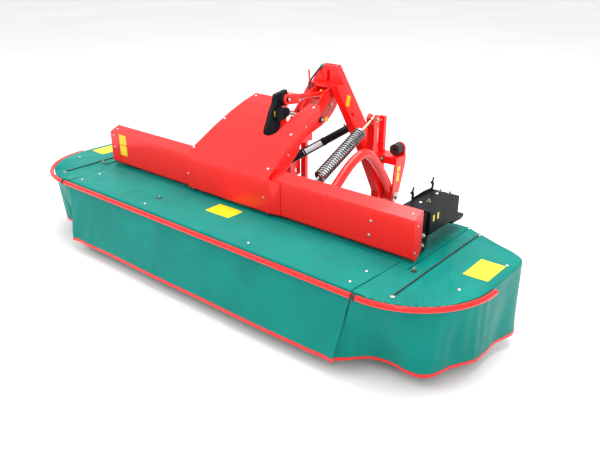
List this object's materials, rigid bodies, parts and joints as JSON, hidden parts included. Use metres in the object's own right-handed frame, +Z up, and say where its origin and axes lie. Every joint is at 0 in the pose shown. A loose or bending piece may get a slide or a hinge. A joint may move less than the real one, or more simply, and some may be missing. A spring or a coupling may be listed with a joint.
{
  "type": "front disc mower",
  "caption": "Front-mounted disc mower with a lifting headstock on parking stands, relief springs, fabric guards that hinge up, and spinning cutting discs under a cover.",
  "frame": {"origin": "on the floor under the middle of the machine's outline", "axes": "+X along the cutterbar towards the belt box, +Y towards the tractor, +Z up"},
  "size_m": [3.34, 1.526, 1.197],
  "materials": {
    "mast_frame_finish": "gloss paint",
    "nose_plates_finish": "gloss paint",
    "hitch_pin_left_finish": "polished",
    "hitch_pin_right_finish": "polished",
    "stop_buffer_left_finish": "matt",
    "stop_buffer_right_finish": "matt",
    "lift_hose_finish": "matt",
    "parking_stand_left_finish": "gloss paint",
    "parking_stand_right_finish": "gloss paint",
    "lift_arm_left_finish": "gloss paint",
    "lift_arm_right_finish": "gloss paint",
    "relief_spring_left_finish": "zinc plated",
    "relief_spring_right_finish": "zinc plated",
    "spring_rod_left_finish": "zinc plated",
    "spring_rod_right_finish": "zinc plated",
    "upper_link_finish": "gloss paint",
    "lift_cylinder_finish": "satin paint",
    "lift_cylinder_rod_finish": "polished",
    "main_beam_finish": "gloss paint",
    "lift_tower_finish": "satin paint",
    "gearbox_finish": "satin paint",
    "drive_shaft_finish": "satin paint",
    "beam_cover_finish": "gloss paint",
    "hood_finish": "gloss paint",
    "belt_box_finish": "satin paint",
    "drive_column_finish": "satin paint",
    "hanger_left_finish": "satin paint",
    "hanger_right_finish": "satin paint",
    "hinge_rod_finish": "zinc plated",
    "cutterbar_finish": "bare, worn",
    "rear_deck_finish": "coated cloth",
    "front_rail_finish": "gloss paint",
    "front_cover_finish": "coated cloth",
    "side_cover_left_finish": "coated cloth",
    "side_cover_right_finish": "coated cloth",
    "side_rail_left_finish": "gloss paint",
    "side_rail_right_finish": "gloss paint",
    "cutting_disc_1_finish": "bare, worn",
    "cutting_disc_2_finish": "bare, worn",
    "cutting_disc_3_finish": "bare, worn",
    "cutting_disc_4_finish": "bare, worn",
    "cutting_disc_5_finish": "bare, worn",
    "cutting_disc_6_finish": "bare, worn",
    "cutting_disc_7_finish": "bare, worn",
    "cutting_disc_8_finish": "bare, worn"
  },
  "bodies": {
    "headstock": {"mast_frame": "mast_frame_finish", "nose_plates": "nose_plates_finish", "hitch_pin_left": "hitch_pin_left_finish", "hitch_pin_right": "hitch_pin_right_finish", "stop_buffer_left": "stop_buffer_left_finish", "stop_buffer_right": "stop_buffer_right_finish", "lift_hose": "lift_hose_finish"},
    "stand_left": {"parking_stand_left": "parking_stand_left_finish"},
    "stand_right": {"parking_stand_right": "parking_stand_right_finish"},
    "arm_left": {"lift_arm_left": "lift_arm_left_finish"},
    "arm_right": {"lift_arm_right": "lift_arm_right_finish"},
    "spring_left": {"relief_spring_left": "relief_spring_left_finish"},
    "spring_right": {"relief_spring_right": "relief_spring_right_finish"},
    "spring_rod_l": {"spring_rod_left": "spring_rod_left_finish"},
    "spring_rod_r": {"spring_rod_right": "spring_rod_right_finish"},
    "link": {"upper_link": "upper_link_finish"},
    "cylinder": {"lift_cylinder": "lift_cylinder_finish"},
    "cylinder_rod": {"lift_cylinder_rod": "lift_cylinder_rod_finish"},
    "mower": {"main_beam": "main_beam_finish", "lift_tower": "lift_tower_finish", "gearbox": "gearbox_finish", "beam_cover": "beam_cover_finish", "hood": "hood_finish", "belt_box": "belt_box_finish", "drive_column": "drive_column_finish", "hanger_left": "hanger_left_finish", "hanger_right": "hanger_right_finish", "hinge_rod": "hinge_rod_finish", "cutterbar": "cutterbar_finish", "rear_deck": "rear_deck_finish"},
    "shaft": {"drive_shaft": "drive_shaft_finish"},
    "front_guard": {"front_rail": "front_rail_finish", "front_cover": "front_cover_finish"},
    "side_guard_left": {"side_cover_left": "side_cover_left_finish", "side_rail_left": "side_rail_left_finish"},
    "side_guard_right": {"side_cover_right": "side_cover_right_finish", "side_rail_right": "side_rail_right_finish"},
    "disc_1": {"cutting_disc_1": "cutting_disc_1_finish"},
    "disc_2": {"cutting_disc_2": "cutting_disc_2_finish"},
    "disc_3": {"cutting_disc_3": "cutting_disc_3_finish"},
    "disc_4": {"cutting_disc_4": "cutting_disc_4_finish"},
    "disc_5": {"cutting_disc_5": "cutting_disc_5_finish"},
    "disc_6": {"cutting_disc_6": "cutting_disc_6_finish"},
    "disc_7": {"cutting_disc_7": "cutting_disc_7_finish"},
    "disc_8": {"cutting_disc_8": "cutting_disc_8_finish"}
  },
  "joints": [
    {"name": "arm_right_lift", "type": "hinge", "parent": "headstock", "child": "arm_right", "pos_m": [0.5, 0.63, 0.385], "axis": [-1, 0, 0], "range_deg": [0, 11]},
    {"name": "arm_left_lift", "type": "hinge", "parent": "headstock", "child": "arm_left", "pos_m": [-0.4, 0.63, 0.385], "axis": [-1, 0, 0], "range_deg": [0, 11]},
    {"name": "mower_pitch", "type": "hinge", "parent": "arm_right", "child": "mower", "pos_m": [0.5, -0.07, 0.545], "axis": [1, 0, 0], "range_deg": [0, 12.1]},
    {"name": "link_pivot", "type": "hinge", "parent": "headstock", "child": "link", "pos_m": [0.05, 0.505, 1.02], "axis": [-1, 0, 0], "range_deg": [0, 18.64]},
    {"name": "cylinder_pivot", "type": "hinge", "parent": "headstock", "child": "cylinder", "pos_m": [0.05, 0.382, 0.878], "axis": [-1, 0, 0], "range_deg": [0, 23.43]},
    {"name": "cylinder_stroke", "type": "slide", "parent": "cylinder", "child": "cylinder_rod", "axis": [0, -0.9458, 0.3248], "range_m": [0, 0.03649]},
    {"name": "spring_rod_left_pivot", "type": "hinge", "parent": "headstock", "child": "spring_rod_l", "pos_m": [-0.33, 0.5, 0.915], "axis": [-1, 0, 0], "range_deg": [0, 10.06]},
    {"name": "spring_left_pivot", "type": "hinge", "parent": "mower", "child": "spring_left", "pos_m": [-0.33, -0.1, 0.645], "axis": [-1, 0, 0], "range_deg": [0, 11.16]},
    {"name": "spring_rod_right_pivot", "type": "hinge", "parent": "headstock", "child": "spring_rod_r", "pos_m": [0.43, 0.5, 0.915], "axis": [-1, 0, 0], "range_deg": [0, 10.06]},
    {"name": "spring_right_pivot", "type": "hinge", "parent": "mower", "child": "spring_right", "pos_m": [0.43, -0.1, 0.645], "axis": [-1, 0, 0], "range_deg": [0, 11.16]},
    {"name": "shaft_joint", "type": "hinge", "parent": "mower", "child": "shaft", "pos_m": [0, 0.01, 0.607], "axis": [-1, 0, 0], "range_deg": [0, 11.55]},
    {"name": "front_guard_hinge", "type": "hinge", "parent": "mower", "child": "front_guard", "pos_m": [0, -0.335, 0.458], "axis": [-1, 0, 0], "range_deg": [0, 80]},
    {"name": "side_guard_left_hinge", "type": "hinge", "parent": "mower", "child": "side_guard_left", "pos_m": [-1.245, 0, 0.47], "axis": [0, 1, 0], "range_deg": [0, 85]},
    {"name": "side_guard_right_hinge", "type": "hinge", "parent": "mower", "child": "side_guard_right", "pos_m": [1.245, 0, 0.47], "axis": [0, -1, 0], "range_deg": [0, 85]},
    {"name": "stand_left_slide", "type": "slide", "parent": "headstock", "child": "stand_left", "axis": [0, 0, 1], "range_m": [0, 0.24]},
    {"name": "stand_right_slide", "type": "slide", "parent": "headstock", "child": "stand_right", "axis": [0, 0, 1], "range_m": [0, 0.24]},
    {"name": "disc_1_spin", "type": "hinge", "parent": "mower", "child": "disc_1", "pos_m": [-1.3825, -0.26, 0.1], "axis": [0, 0, 1], "continuous": true},
    {"name": "disc_2_spin", "type": "hinge", "parent": "mower", "child": "disc_2", "pos_m": [-0.9875, -0.26, 0.1], "axis": [0, 0, 1], "continuous": true},
    {"name": "disc_3_spin", "type": "hinge", "parent": "mower", "child": "disc_3", "pos_m": [-0.5925, -0.26, 0.1], "axis": [0, 0, 1], "continuous": true},
    {"name": "disc_4_spin", "type": "hinge", "parent": "mower", "child": "disc_4", "pos_m": [-0.1975, -0.26, 0.1], "axis": [0, 0, 1], "continuous": true},
    {"name": "disc_5_spin", "type": "hinge", "parent": "mower", "child": "disc_5", "pos_m": [0.1975, -0.26, 0.1], "axis": [0, 0, 1], "continuous": true},
    {"name": "disc_6_spin", "type": "hinge", "parent": "mower", "child": "disc_6", "pos_m": [0.5925, -0.26, 0.1], "axis": [0, 0, 1], "continuous": true},
    {"name": "disc_7_spin", "type": "hinge", "parent": "mower", "child": "disc_7", "pos_m": [0.9875, -0.26, 0.1], "axis": [0, 0, 1], "continuous": true},
    {"name": "disc_8_spin", "type": "hinge", "parent": "mower", "child": "disc_8", "pos_m": [1.3825, -0.26, 0.1], "axis": [0, 0, 1], "continuous": true}
  ],
  "couplings": [
    {"joint": "arm_left_lift", "follows": "arm_right_lift", "ratio": 1},
    {"joint": "mower_pitch", "follows": "arm_right_lift", "ratio": 1.1},
    {"joint": "link_pivot", "follows": "arm_right_lift", "ratio": 1.695},
    {"joint": "cylinder_pivot", "follows": "arm_right_lift", "ratio": 2.13},
    {"joint": "cylinder_stroke", "follows": "arm_right_lift", "m_per_rad": 0.19},
    {"joint": "spring_rod_left_pivot", "follows": "arm_right_lift", "ratio": 0.915},
    {"joint": "spring_left_pivot", "follows": "arm_right_lift", "ratio": 1.015},
    {"joint": "spring_rod_right_pivot", "follows": "arm_right_lift", "ratio": 0.915},
    {"joint": "spring_right_pivot", "follows": "arm_right_lift", "ratio": 1.015},
    {"joint": "shaft_joint", "follows": "arm_right_lift", "ratio": 1.05},
    {"joint": "disc_2_spin", "follows": "disc_1_spin", "ratio": -1},
    {"joint": "disc_3_spin", "follows": "disc_1_spin", "ratio": 1},
    {"joint": "disc_4_spin", "follows": "disc_1_spin", "ratio": -1},
    {"joint": "disc_5_spin", "follows": "disc_1_spin", "ratio": 1},
    {"joint": "disc_6_spin", "follows": "disc_1_spin", "ratio": -1},
    {"joint": "disc_7_spin", "follows": "disc_1_spin", "ratio": 1},
    {"joint": "disc_8_spin", "follows": "disc_1_spin", "ratio": -1}
  ]
}
